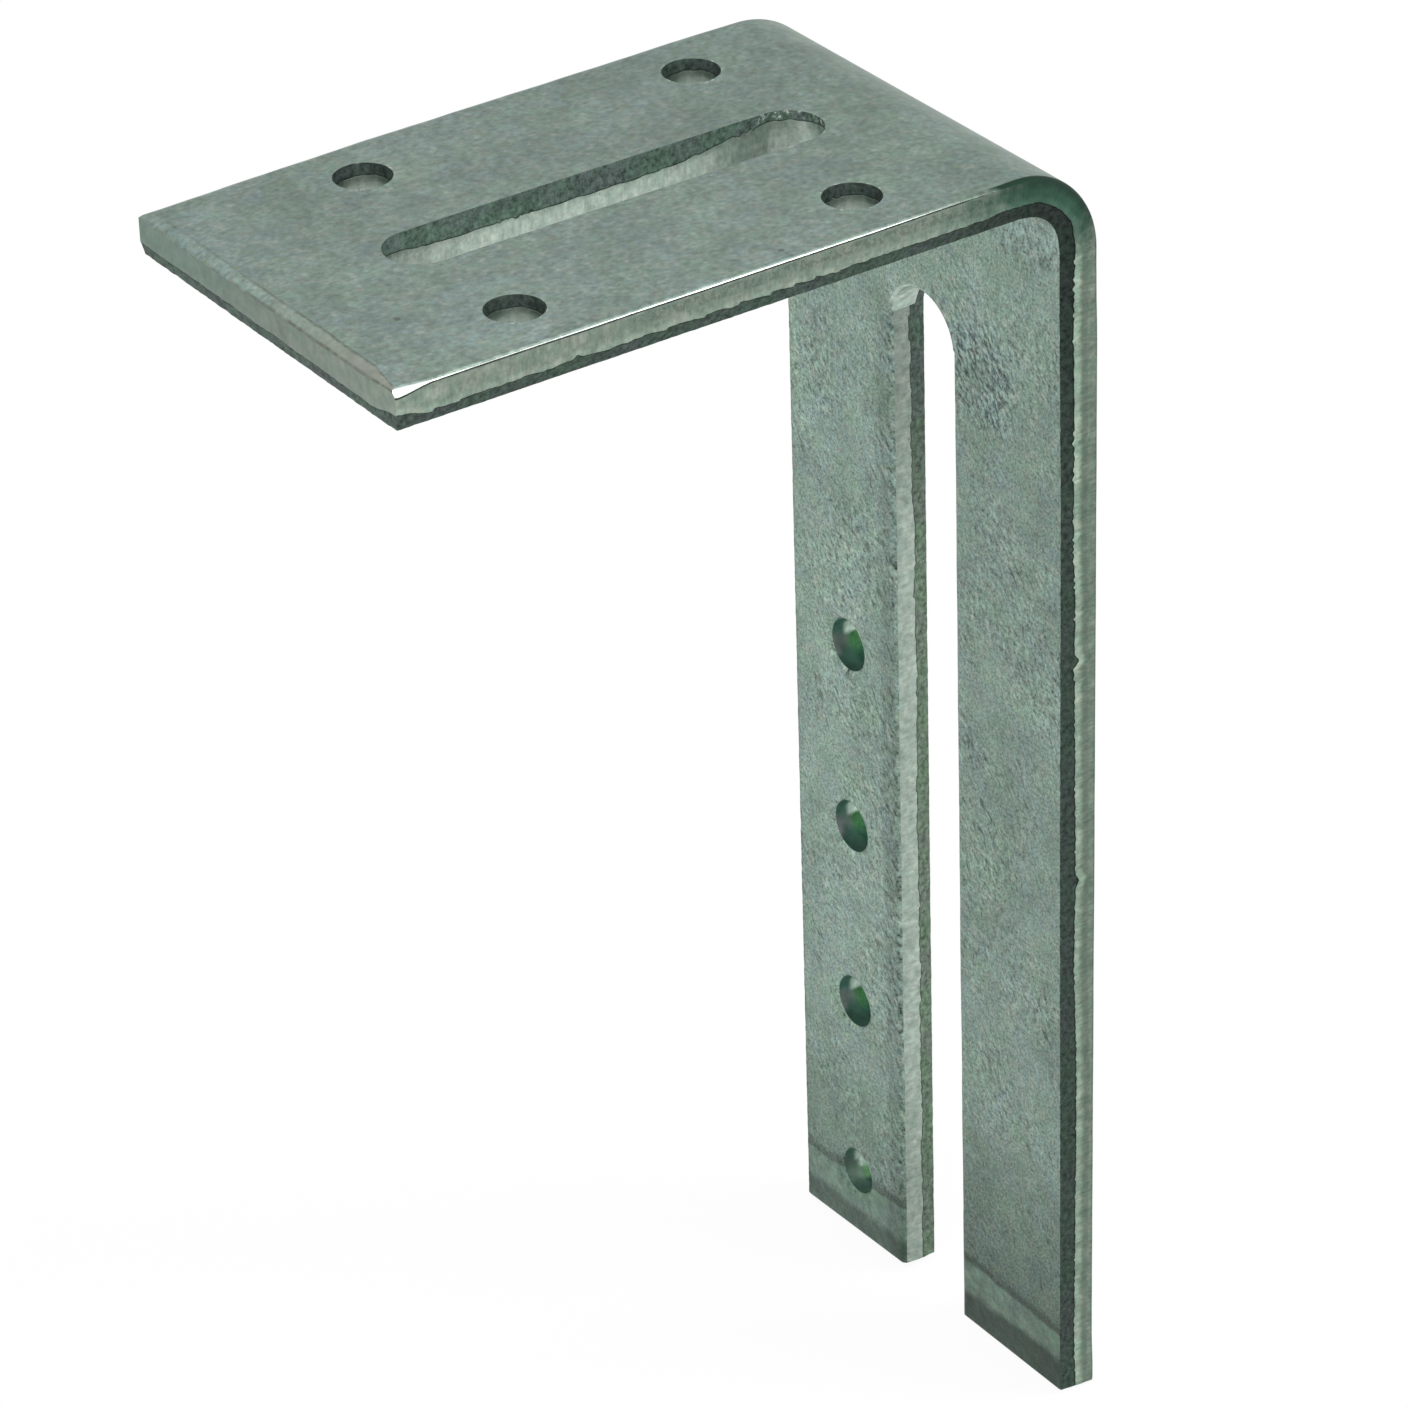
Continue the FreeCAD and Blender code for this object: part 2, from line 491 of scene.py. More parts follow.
def pattern_holes(mount_name, place_on_blank, axis):
    """Centres on the blank, and the radius, of one bolt pattern's two holes."""
    mount = mounts[mount_name]
    middle = mount["pos_m"][axis] / MM
    half = mount["dims"]["spacing_y_mm"] / 2
    u = mount["pos_m"][0] / MM
    centres = [(u, place_on_blank(middle + side * half)) for side in (-1, 1)]
    return [(centre, mount["dims"]["hole_r_mm"]) for centre in centres]


top_slot = mounts["top_slot"]
top_loops = [
    slot_runs(
        top_slot_cut,
        (top_slot["pos_m"][0] / MM, on_top_leg(top_slot["pos_m"][1] / MM)),
        top_slot["dims"]["hole_r_mm"] - top_slot_narrowing,
        top_slot["dims"]["slot_length_mm"],
    )
]
fork_loops = []
for row in ("near_row_holes", "far_row_holes"):
    top_loops += [hole_runs(top_hole_cut, *hole) for hole in pattern_holes(row, on_top_leg, 1)]
for pair in ("fork_holes_outer_pair", "fork_holes_inner_pair"):
    for centre, radius in pattern_holes(pair, on_fork_leg, 2):
        if centre[1] > blank_length - clogged_reach:
            fork_loops.append(hole_runs(clogged_hole_cut, centre, radius - fork_hole_change))
        else:
            fork_loops.append(hole_runs(fork_hole_cut, centre, radius + fork_hole_change))

# The mesh is gathered here: points, faces, and for every face corner where it lies on its cut (how
# far along the edge, how deep below the face the tool entered, and how far past the tear), how
# light the zinc is there with its place on the lip, and what kind of cut it is.
points, blank_places = [], []
faces, face_sides = [], []
corner_marks, corner_tones, corner_kinds = [], [], []
off_the_cut = (0.0, -1.0, -9.0)
plain_tones = (1.0, 1.0, -1.0)
rim_tones = (1.0, 1.0, -0.5)
plain_kind = (0.0, 0.0, 0.0)


def add_face(numbers, side, marks=None, tones=None, kind=plain_kind):
    """Adds a face. Its side is 0 on the outer face of the plate and 1 on the inner face."""
    count = len(numbers)
    faces.append(numbers)
    face_sides.append(side)
    corner_marks.append(marks or (off_the_cut,) * count)
    corner_tones.append(tones or (plain_tones,) * count)
    corner_kinds.append((kind,) * count)


def column_points(run, column, before, after, depths):
    """Adds one column's points, with a spare point on each face, and returns their numbers."""
    numbers = []
    rows = [(depth, 0.0) for depth in depths]
    rows = [(depths[0], face_margin), *rows, (depths[-1], face_margin)]
    for depth, margin in rows:
        inset = inset_at(run.cut, column.line, depth) + margin
        slide = 0.0
        for pull, neighbour, way in ((column.start_pull, before, 1), (column.end_pull, after, -1)):
            if not pull:
                continue
            slide += way * pull * (inset_at(neighbour.cut, column.line, depth) + margin)
        u = column.line[0] + column.inward[0] * inset + column.along[0] * slide
        s = column.line[1] + column.inward[1] * inset + column.along[1] * slide
        numbers.append(len(points))
        points.append(folded(u, s, depth))
        blank_places.append((u, s))
    return numbers


def corner_values(values, next_values, row):
    """The values at the four corners of a face between two columns."""
    return values[row - 1], values[row], next_values[row], next_values[row - 1]


def build_flank(runs):
    """Adds one closed ring of cut edge and returns each run's columns of point numbers."""
    ring = []
    for index, run in enumerate(runs):
        before, after = runs[index - 1], runs[(index + 1) % len(runs)]
        for column in run.columns:
            depths = row_depths(run.cut, column.line)
            if column.start_pull == 1:
                others = row_depths(before.cut, column.line)
                depths = [(depth + other) / 2 for depth, other in zip(depths, others)]
            numbers = column_points(run, column, before, after, depths)
            ring.append((index, column.line, depths, numbers))
    travel = 0.0
    for place, (index, line, depths, numbers) in enumerate(ring):
        _, next_line, next_depths, next_numbers = ring[(place + 1) % len(ring)]
        cut = runs[index].cut
        step = math.dist(line, next_line)
        marks, tones = flank_marks(cut, line, depths, travel)
        next_marks, next_tones = flank_marks(cut, next_line, next_depths, travel + step)
        kind = (cut.shine, cut.green, cut.creased)
        first_rim, last_rim = plain_tones, rim_tones
        if not cut.from_outside:
            first_rim, last_rim = rim_tones, plain_tones
        last = len(numbers) - 2
        for row in range(last + 1):
            around = (numbers[row], numbers[row + 1], next_numbers[row + 1], next_numbers[row])
            side = row / last
            if row == 0:
                add_face(around, side, tones=(plain_tones, first_rim, first_rim, plain_tones))
            elif row == last:
                add_face(around, side, tones=(last_rim, plain_tones, plain_tones, last_rim))
            else:
                around_marks = corner_values(marks, next_marks, row)
                around_tones = corner_values(tones, next_tones, row)
                add_face(around, side, around_marks, around_tones, kind)
        travel += step
    columns = [[] for _ in runs]
    for index, _, _, numbers in ring:
        columns[index].append(numbers)
    return columns


def flank_marks(cut, line, depths, travel):
    """What a column's points know of the cut that made them."""
    tear = tear_depth(cut, line)
    lip_width, lip_depth, bevel = lip_shape(cut, line)
    smooth_tone, torn_tone = cut.tones(line)
    marks, tones = [], []
    for outer_depth in depths:
        depth = outer_depth if cut.from_outside else thickness - outer_depth
        if depth <= lip_depth:
            lip_place = 1 - (lip_inset(cut, line, depth) - bevel) / lip_width
        elif depth < lip_depth + bevel:
            lip_place = 1 + (depth - lip_depth) / bevel
        else:
            lip_place = 2 + depth - lip_depth - bevel
        marks.append((travel, depth, depth - tear))
        tones.append((smooth_tone, torn_tone, lip_place))
    return marks, tones


def fill_flat(outline, openings, row, side):
    """Covers a flat stretch of one face, from the outline's points in to the openings' points."""
    rings = [[numbers[row] for numbers in outline]]
    rings += [[numbers[row] for numbers in opening] for opening in openings]
    order = [number for ring in rings for number in ring]
    ring_of = [index for index, ring in enumerate(rings) for _ in ring]
    edges, first = [], 0
    for ring in rings:
        edges += [(first + k, first + (k + 1) % len(ring)) for k in range(len(ring))]
        first += len(ring)
    places = [Vector(blank_places[number]) for number in order]
    cover_inside, closest = 1, 1e-5
    _, _, triangles, sources, _, _ = delaunay_2d_cdt(places, edges, [], cover_inside, closest)
    for triangle in triangles:
        corners = [sources[corner][0] for corner in triangle]
        touched = {ring_of[corner] for corner in corners}
        if len(touched) == 1 and touched != {0}:
            continue
        add_face(tuple(order[corner] for corner in corners), side)


def build_faces(outline, top_rings, fork_rings):
    """Covers the outer and inner faces of both legs, and the fold between them."""
    free_end, front_edge, front_fold = outline[:3]
    fork_edges = outline[3:10]
    back_fold, back_edge = outline[10:]
    top_outline = back_edge + free_end + front_edge + front_fold[:1]
    fork_outline = [numbers for run in fork_edges for numbers in run] + back_fold[:1]
    front_line = front_fold + fork_edges[0][:1]
    back_line = back_edge[:1] + back_fold[::-1]
    for row, side in ((0, 0.0), (-1, 1.0)):
        fill_flat(top_outline, top_rings, row, side)
        fill_flat(fork_outline, fork_rings, row, side)
        front = [numbers[row] for numbers in front_line]
        back = [numbers[row] for numbers in back_line]
        for k in range(len(front) - 1):
            add_face((front[k], front[k + 1], back[k + 1], back[k]), side)


outline_columns = build_flank(outline_runs())
top_columns = [sum(build_flank(runs), []) for runs in top_loops]
fork_columns = [sum(build_flank(runs), []) for runs in fork_loops]
build_faces(outline_columns, top_columns, fork_columns)

sharp_angle = math.radians(32)
plate_mesh = bpy.data.meshes.new("folded_plate")
plate_mesh.from_pydata(points, [], faces)
for mark_name, values in (
    ("cut_marks", corner_marks),
    ("cut_tones", corner_tones),
    ("cut_kind", corner_kinds),
):
    mark = plate_mesh.attributes.new(mark_name, "FLOAT_VECTOR", "CORNER")
    mark.data.foreach_set("vector", [v for corners in values for corner in corners for v in corner])
inner_side = plate_mesh.attributes.new("inner_side", "FLOAT", "FACE")
inner_side.data.foreach_set("value", face_sides)
plate_shape = bmesh.new()
plate_shape.from_mesh(plate_mesh)
bmesh.ops.recalc_face_normals(plate_shape, faces=plate_shape.faces)
plate_shape.to_mesh(plate_mesh)
plate_shape.free()
plate_mesh.shade_smooth()
plate_mesh.set_sharp_from_angle(angle=sharp_angle)
folded_plate = bpy.data.objects.new("folded_plate", plate_mesh)
bpy.context.collection.objects.link(folded_plate)
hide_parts("angle_anchor")
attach(folded_plate, "root")

zinc = bpy.data.materials.new("zinc_coated_steel")
zinc.use_nodes = True
zinc.node_tree.nodes.clear()


def plug(value, socket):
    """Sets a socket to a value, or links it to another node's socket."""
    if isinstance(value, bpy.types.NodeSocket):
        zinc.node_tree.links.new(value, socket)
    else:
        socket.default_value = value


def zinc_node(kind, *inputs, **settings):
    """Adds a node to the zinc finish. Inputs are values or other nodes' sockets, in order."""
    node = zinc.node_tree.nodes.new(kind)
    for name, value in settings.items():
        setattr(node, name, value)
    for socket, value in zip(node.inputs, inputs):
        plug(value, socket)
    return node


def sums(operation, *values):
    """One step of arithmetic."""
    return zinc_node("ShaderNodeMath", *values, operation=operation).outputs[0]


def fade(value, start, end, low=0.0, high=1.0):
    """Goes from low to high as a value goes from start to end."""
    ends = (value, start, end, low, high)
    return zinc_node("ShaderNodeMapRange", *ends, interpolation_type="SMOOTHSTEP").outputs[0]


def level_where(amount, level):
    """1 where there is nothing of an amount, going to a level where there is all of it."""
    return fade(amount, 0.0, 1.0, 1.0, level)


def cloud(vector, pitch, detail, roughness):
    """Soft uneven values between 0 and 1, with patches about as long as the pitch."""
    node = zinc_node("ShaderNodeTexNoise")
    plug(vector, node.inputs["Vector"])
    plug(1 / pitch, node.inputs["Scale"])
    plug(detail, node.inputs["Detail"])
    plug(roughness, node.inputs["Roughness"])
    return node.outputs[0]


def tinted(amount, first, second):
    """The first colour going over to the second."""
    node = zinc_node("ShaderNodeMix", amount, data_type="RGBA")
    for colour, socket in ((first, node.inputs[6]), (second, node.inputs[7])):
        plug((*colour, 1) if isinstance(colour, tuple) else colour, socket)
    return node.outputs[2]


def layered(colour, *coats):
    """A colour with others laid over it in turn, each by its amount."""
    for amount, coat in coats:
        colour = tinted(amount, colour, coat)
    return colour


def between(amount, first, second):
    """A number going over from the first to the second."""
    node = zinc_node("ShaderNodeMix", amount)
    plug(first, node.inputs[2])
    plug(second, node.inputs[3])
    return node.outputs[0]


def vector_sums(operation, *values):
    """One step of arithmetic on places or colours."""
    return zinc_node("ShaderNodeVectorMath", *values, operation=operation).outputs


def times(vector, level):
    """A colour or a place multiplied, part by part."""
    return vector_sums("MULTIPLY", vector, level)[0]


def parts(vector):
    """The three parts of a place or of a mark."""
    return zinc_node("ShaderNodeSeparateXYZ", vector).outputs[:3]


def product(*levels):
    """Levels multiplied together."""
    total = levels[0]
    for level in levels[1:]:
        total = sums("MULTIPLY", total, level)
    return total


def window(value, start, full, full_end, end):
    """Rises from 0 at start to 1 at full, and falls from 1 at full_end back to 0 at end."""
    return product(fade(value, start, full), fade(value, full_end, end, 1.0, 0.0))


def stretched(vector, axis, share):
    """Places squeezed along an axis, so that patches come out long that way."""
    spot = vector_sums("DOT_PRODUCT", vector, axis)["Value"]
    return vector_sums("SUBTRACT", vector, times(axis, product(spot, share)))[0]


def swing(value, size):
    """A cloud's value turned into a swing to both sides of 0."""
    return product(sums("SUBTRACT", value, 0.5), size)


def uneven(value, spread):
    """A level about 1 from a cloud's value."""
    return sums("MULTIPLY_ADD", sums("SUBTRACT", value, 0.5), spread, 1.0)


coordinates = zinc_node("ShaderNodeTexCoord").outputs
place = times(coordinates["Object"], (1 / MM,) * 3)
place_x, place_y, place_z = parts(place)
facing_up = parts(coordinates["Normal"])[2]
marks, tones, kind = (
    zinc_node("ShaderNodeAttribute", attribute_name=name).outputs["Vector"]
    for name in ("cut_marks", "cut_tones", "cut_kind")
)
inner = zinc_node("ShaderNodeAttribute", attribute_name="inner_side").outputs["Fac"]
past_tear = parts(marks)[2]
smooth_tone, torn_tone, lip_place = parts(tones)
shine, green, creased = parts(kind)

# The lip place goes from 0 to 1 over the lip's round and to 2 over its bevel, then on down the
# flank. The shine is 1 on the long edges as far as the fold's end, 0.3 on the tines' and else 0.
on_flank = fade(lip_place, 1.9, 2.0)
on_lip = window(lip_place, 0.0, 0.3, 1.9, 2.0)
on_bevel = product(shine, window(lip_place, 0.9, 1.1, 1.95, 2.0))
on_top_edge = fade(shine, 0.5, 1.0)
on_tine = window(shine, 0.1, 0.25, 0.4, 0.9)
on_dull_cut = fade(shine, 0.1, 0.0)
on_wall = fade(sums("ADD", shine, creased), 0.2, 0.1)
in_clogged_hole = window(green, 0.7, 0.8, 0.9, 0.97)
torn = between(green, fade(past_tear, -0.06, 0.06), fade(past_tear, -0.8, 0.5))

# The rolled faces: soft tints in patches, and a fine grain that the rolling left. It runs along
# the strip on the outer face and slantwise, and more strongly, on the inner face.
green_grey, blue_grey, warm_grey = (0.17, 0.24, 0.196), (0.174, 0.234, 0.22), (0.206, 0.246, 0.212)
rosy_grey, straw_grey = (0.222, 0.24, 0.218), (0.192, 0.25, 0.186)
no_tint = (1.0, 1.0, 1.0)
along_strip = (0.0, 1.0, 0.0)
mottle = cloud(place, 16.0, 3.0, 0.55)
hue = cloud(place, 7.0, 4.0, 0.65)
warmth = cloud(stretched(place, along_strip, 0.2), 2.0, 3.0, 0.6)
flecks = cloud(place, 1.5, 2.0, 0.6)
patches = cloud(place, 4.0, 2.0, 0.5)
outer_grain = cloud(stretched(place, along_strip, 0.3), 0.7, 2.0, 0.6)
tint = layered(
    green_grey,
    (fade(hue, 0.36, 0.62), blue_grey),
    (fade(warmth, 0.45, 0.75), warm_grey),
    (fade(flecks, 0.54, 0.74, 0.0, 0.8), rosy_grey),
    (fade(flecks, 0.46, 0.28, 0.0, 0.8), straw_grey),
)

# A few dark specks, and one pit near the free end.
speck_pitch = 6.0
speck_cells = zinc_node("ShaderNodeTexVoronoi", place)
plug(1 / speck_pitch, speck_cells.inputs["Scale"])
speck_chance = zinc_node("ShaderNodeSeparateColor", speck_cells.outputs["Color"]).outputs[0]
speck_size = fade(speck_chance, 0.75, 1.0, 0.0, 0.1)
specks = sums("LESS_THAN", speck_cells.outputs["Distance"], speck_size)


def near(spot, reach):
    """1 at a spot on the plate, falling to 0 at a reach from it."""
    return fade(vector_sums("DISTANCE", place, spot)["Value"], reach, 0.4 * reach)


pit = near((15.6, -99.0, top_height), 0.7)
outer_level = product(
    uneven(mottle, 0.55),
    uneven(patches, 0.42),
    uneven(flecks, 0.45),
    uneven(outer_grain, 1.3),
    level_where(specks, 0.55),
    fade(place_x, -15.0, half_width, 1.03, 1.12),
    fade(place_y, -95.0, -12.0, 1.07, 0.96),
    level_where(pit, 0.5),
)
fold_tint = (0.965, 1.0, 0.965)
outer_tint = times(tint, tinted(fade(place_y, -45.0, -12.0), no_tint, fold_tint))
outer_colour = times(outer_tint, outer_level)

slant = (0.61, 0.0, -0.79)
round_the_fold = (0.0, 0.6, 0.8)
strokes = cloud(stretched(place, slant, 0.42), 0.75, 3.0, 0.6)
fold_strokes = cloud(stretched(place, round_the_fold, 0.75), 0.8, 2.0, 0.6)
strokes = between(fade(place_z, 12.0, 22.0), strokes, fold_strokes)
stroke_share = fade(cloud(place, 13.0, 2.0, 0.5), 0.36, 0.64, 0.55, 1.25)
fine_grain = cloud(place, 0.4, 2.0, 0.6)

# By the tips the face was pressed flat, up to a dark line that isn't quite level. The very end
# is darker still.
slot_side_x = 7.0
pressed_height = 9.1
dark_end_height = 4.3
height = sums("SUBTRACT", place_z, tip_height)
end_height = sums("ADD", height, swing(cloud(place, 6.0, 4.0, 0.6), 2.6))
line_height = sums("SUBTRACT", end_height, fade(place_x, -half_width, -slot_side_x, 0.8, 2.0))
line_height = sums("ADD", line_height, fade(place_x, slot_side_x, half_width, 0.0, 0.6))
end_height = sums("SUBTRACT", end_height, fade(place_x, -slot_side_x, half_width, 0.0, 1.0))
pressed = fade(line_height, pressed_height + 0.6, pressed_height)
above_line = sums("SUBTRACT", line_height, pressed_height)
pressed_line = window(above_line, -0.3, 0.2, 0.7, 2.5)


def by_tine(holed, plain):
    """One level on the tine with holes and another on the plain one."""
    return fade(place_x, -slot_side_x, slot_side_x, holed, plain)


tip_stains = cloud(stretched(place, slant, 0.3), 1.5, 4.0, 0.65)
pressed_level = product(
    level_where(pressed, by_tine(0.95, 1.2)),
    fade(end_height, dark_end_height + 1.6, dark_end_height, 1.0, by_tine(0.52, 0.4)),
    between(pressed, 1.0, uneven(tip_stains, 1.5)),
    sums("SUBTRACT", 1.0, product(pressed_line, 0.46)),
)
grain_share = level_where(pressed, 0.45)
grain_swing = sums(
    "ADD",
    product(swing(strokes, 2.5), stroke_share, grain_share),
    product(swing(fine_grain, 2.1), grain_share),
)

# Scuffs lie in loose groups, by the slot, and in a bluish bruise beside the bolt seat.
scuffs = cloud(stretched(place, slant, 0.66), 1.0, 3.0, 0.6)
bruise_spot = near((14.0, -thickness, -1.5), 11.0)
slot_side = product(window(place_x, -12.0, -8.8, -7.6, -6.6), fade(place_z, 8.0, -4.0))
scuff_places = ((-9.0, -64.0), (-9.5, -42.0), (14.0, -72.0))
scuff_spots = [near((x, -thickness, z), 8.0) for x, z in scuff_places]
scuffed = fade(cloud(place, 9.0, 2.0, 0.5), 0.52, 0.7)
for spot in (bruise_spot, product(slot_side, 0.8), *scuff_spots):
    scuffed = sums("MAXIMUM", scuffed, spot)
scuff_amount = product(fade(scuffs, 0.53, 0.66), scuffed, grain_share)
bruise = product(bruise_spot, fade(strokes, 0.56, 0.42), fade(patches, 0.36, 0.5))
inner_level = product(
    uneven(mottle, 0.45),
    uneven(patches, 0.45),
    sums("ADD", grain_swing, 1.0),
    level_where(scuff_amount, 0.5),
    level_where(bruise, 0.62),
    by_tine(1.46, 1.29),
    fade(place_z, 0.0, 14.0, 1.0, 1.13),
    fade(height, 47.0, 10.0, 1.0, by_tine(0.73, 0.54)),
    pressed_level,
    # The face is also darker all along beside the slot.
    level_where(slot_side, 0.78),
    fade(place_x, 0.8 - half_width, 1.5 - half_width, 0.75, 1.0),
)
high_tint, low_tint = (1.0, 1.02, 1.0), (0.955, 1.01, 0.95)
pressed_tint, bruise_tint = (0.97, 1.02, 0.98), (0.94, 1.0, 1.06)
inner_tint = times(tint, tinted(fade(height, 45.0, 12.0), high_tint, low_tint))
inner_tint = times(inner_tint, tinted(pressed, no_tint, pressed_tint))
inner_tint = times(inner_tint, tinted(bruise, no_tint, bruise_tint))
inner_colour = times(inner_tint, inner_level)
face_colour = tinted(fade(inner, 0.4, 0.6), outer_colour, inner_colour)

# The cut edges: the smooth band has fine lines the way the tool went, and is lighter by the tear.
# The tines' band has a light stripe there and an olive one beside it, the front edge's a smudge.
edge_green, edge_grey = (0.25, 0.33, 0.268), (0.28, 0.325, 0.27)
back_edge_green = (0.222, 0.325, 0.262)
wall_green, wall_grey = (0.256, 0.318, 0.274), (0.276, 0.318, 0.28)
tine_tint = (0.945, 1.0, 0.96)
drawn_place = times(marks, (1.0, 0.14, 0.0))
streaks = cloud(drawn_place, 0.45, 4.0, 0.75)
sweeps = cloud(drawn_place, 3.5, 3.0, 0.6)
smears = cloud(place, 2.2, 3.0, 0.6)
blotches = cloud(times(marks, (1.0, 0.8, 0.0)), 1.1, 3.0, 0.7)
by_tear = fade(past_tear, -1.3, -0.25)
stripe = product(
    window(past_tear, -1.6, -0.5, -0.06, 0.0),
    on_tine,
    fade(sweeps, 0.3, 0.6, 0.5, 1.0),
    fade(place_z, -70.0, -5.0, 0.7, 1.0),
)
olive = product(window(past_tear, -2.6, -2.0, -1.6, -1.1), on_tine, fade(blotches, 0.4, 0.55))
smudge = product(
    window(lip_place, 2.2, 2.7, 3.6, 4.6),
    on_top_edge,
    fade(place_y, -84.0, -68.0),
    fade(blotches, 0.44, 0.58),
)
dashes = product(
    window(past_tear, -0.8, -0.55, -0.15, -0.05),
    fade(streaks, 0.55, 0.62),
    fade(smears, 0.48, 0.56),
    on_wall,
)
smooth_level = product(
    between(creased, uneven(streaks, fade(on_tine, 0.0, 1.0, 0.7, 1.2)), 1.0),
    uneven(blotches, fade(creased, 0.0, 1.0, 1.3, 0.6)),
    uneven(sweeps, 0.4),
    uneven(smears, 0.6),
    level_where(olive, 0.74),
    level_where(smudge, 0.6),
    level_where(dashes, 0.5),
    level_where(product(by_tear, on_top_edge), 1.25),
    level_where(stripe, 1.9),
    smooth_tone,
)
smeared = fade(smears, 0.4, 0.65)
by_back_corner = product(creased, fade(place_x, 10.0, -25.0))
edge_tint = tinted(by_back_corner, tinted(smeared, edge_green, edge_grey), back_edge_green)
smooth_tint = tinted(on_wall, edge_tint, tinted(smeared, wall_green, wall_grey))
smooth_tint = times(smooth_tint, tinted(on_tine, no_tint, tine_tint))
smooth_colour = times(smooth_tint, smooth_level)

# At the fold's front edge a dark greenish reflection is painted into the zinc's colour, darkest
# along the lip.
reflection_dark_green, reflection_middle_green = (0.018, 0.048, 0.031), (0.034, 0.093, 0.063)
reflection_pale_green = (0.056, 0.132, 0.092)
reflection_spot = (half_width, -3.2, 34.0)
reflection_gap = vector_sums("DISTANCE", times(place, (1.0, 0.6, 1.0)), reflection_spot)["Value"]
painted_fold_reflection = fade(sums("ADD", reflection_gap, swing(smears, 7.0)), 13.5, 3.5)
by_lip_foot = fade(lip_place, 2.0, 3.4)
painted_reflection_colour = layered(reflection_dark_green, (by_lip_foot, reflection_middle_green), (by_tear, reflection_pale_green))
painted_reflection_colour = times(painted_reflection_colour, product(uneven(streaks, 0.7), uneven(smears, 1.0)))
smooth_colour = tinted(product(painted_fold_reflection, 0.95), smooth_colour, painted_reflection_colour)

# Inside the tine's holes the colour is chosen by which way the wall faces, as painted shade and a
# painted greenish reflection, with a bright spot at the sides by the far end that is partly a zinc
# drop and partly a painted highlight. In the lowest hole the zinc has run in and set; its light and
# dark parts, too, are painted by which way it faces.
hole_teal, hole_grey, hole_dark = (0.13, 0.28, 0.225), (0.19, 0.25, 0.222), (0.06, 0.13, 0.1)
hole_rim, bright_zinc_glint = (0.26, 0.285, 0.28), (0.64, 0.78, 0.69)
end_green, end_dark = (0.075, 0.22, 0.092), (0.03, 0.095, 0.065)
run_in_wall, run_in_zinc = (0.15, 0.235, 0.185), (0.6, 0.72, 0.64)
run_in_green, run_in_dark = (0.11, 0.26, 0.12), (0.02, 0.075, 0.06)
# The hole walls' colours are picked by which way they face: painted shade, painted reflection and a
# painted highlight.
by_hole_rim = product(fade(lip_place, 3.4, 2.0), window(facing_up, -0.1, 0.2, 0.6, 0.85))
run_in_amount = product(in_clogged_hole, window(facing_up, -0.4, 0.1, 0.78, 0.94))
# A bright spot, partly a zinc drop and partly a painted highlight.
zinc_drop_glint = product(window(facing_up, -0.5, -0.22, 0.08, 0.28), fade(past_tear, -1.1, -0.2))
shaded_hole_wall = layered(
    hole_teal,
    (fade(facing_up, -0.15, 0.35), hole_grey),
    (fade(facing_up, 0.3, 0.75), hole_dark),
    (by_hole_rim, hole_rim),
    (run_in_amount, run_in_wall),
)
shaded_hole_wall = tinted(zinc_drop_glint, times(shaded_hole_wall, uneven(smears, 1.2)), bright_zinc_glint)
smooth_colour = tinted(green, smooth_colour, shaded_hole_wall)
shaded_run_in = tinted(fade(facing_up, 0.4, 0.62), run_in_zinc, run_in_green)
shaded_run_in = tinted(fade(facing_up, 0.82, 0.96), shaded_run_in, run_in_dark)
shaded_hole_end = layered(
    end_green,
    (fade(facing_up, 0.5, 0.98), end_dark),
    (zinc_drop_glint, bright_zinc_glint),
    (in_clogged_hole, shaded_run_in),
)

# The torn band is dull and dark, with painted shade just under the tear making it darkest there,
# and a little warmer down the fork's slot. At the top slot's end by the fold a few burrs shine in
# it.
broken_grey, broken_green = (0.078, 0.101, 0.094), (0.072, 0.112, 0.086)
low_wall_tint = (0.98, 0.94, 0.84)
bright_burr, dull_burr = (0.58, 0.64, 0.6), (0.5, 0.56, 0.52)
crumble = cloud(place, 0.8, 3.0, 0.7)
# Painted shade just under the tear's edge.
shade_under_tear = fade(past_tear, 0.3, 0.02)
broken_level = product(uneven(crumble, 2.8), torn_tone, fade(shade_under_tear, 0.0, 1.0, 1.1, 0.4))
torn_colour = times(tinted(fade(hue, 0.4, 0.6), broken_grey, broken_green), broken_level)
low_wall = product(on_dull_cut, fade(place_z, 0.0, -30.0))
torn_colour = times(torn_colour, tinted(low_wall, no_tint, low_wall_tint))
slot_end_burrs = product(
    near((-2.0, -24.0, top_height), 8.0),
    fade(crumble, 0.52, 0.59),
    fade(past_tear, 0.2, 0.5),
    on_dull_cut,
)
torn_colour = tinted(slot_end_burrs, torn_colour, bright_burr)
torn_colour = tinted(green, torn_colour, times(shaded_hole_end, uneven(crumble, 1.4)))

# The lips: the front edge's lip is painted lighter towards its bevel as a highlight glow, and its
# bevel is painted bright, white in a wedge at the free end's corner and dimmer in stretches along
# the edge and towards the fold, which sets how strong the lamp's highlight shows there. A painted
# shade line lies at its foot. The free end's lip has painted shade lines along its creases, and
# part of the bolt seat's is as light as its wall.
worn_lip, reflected_lip_colour = (0.28, 0.3, 0.258), (0.022, 0.052, 0.035)
bevel_grey, painted_wedge_white = (0.6, 0.64, 0.61), (0.97, 1.0, 0.98)
painted_shade_line_colour, crease_shade_colour = (0.025, 0.032, 0.028), (0.1, 0.105, 0.085)
lip_colour = times(face_colour, level_where(creased, 1.2))
by_front_corner = product(creased, fade(place_x, -10.0, half_width))
lip_colour = tinted(by_front_corner, lip_colour, times(worn_lip, uneven(smears, 0.9)))
# A painted highlight glow: the front edge's lip grows lighter towards its bevel.
painted_lip_glow = product(shine, fade(lip_place, 0.2, 1.0), fade(place_y, -12.0, -30.0))
lip_colour = times(lip_colour, level_where(painted_lip_glow, 1.9))
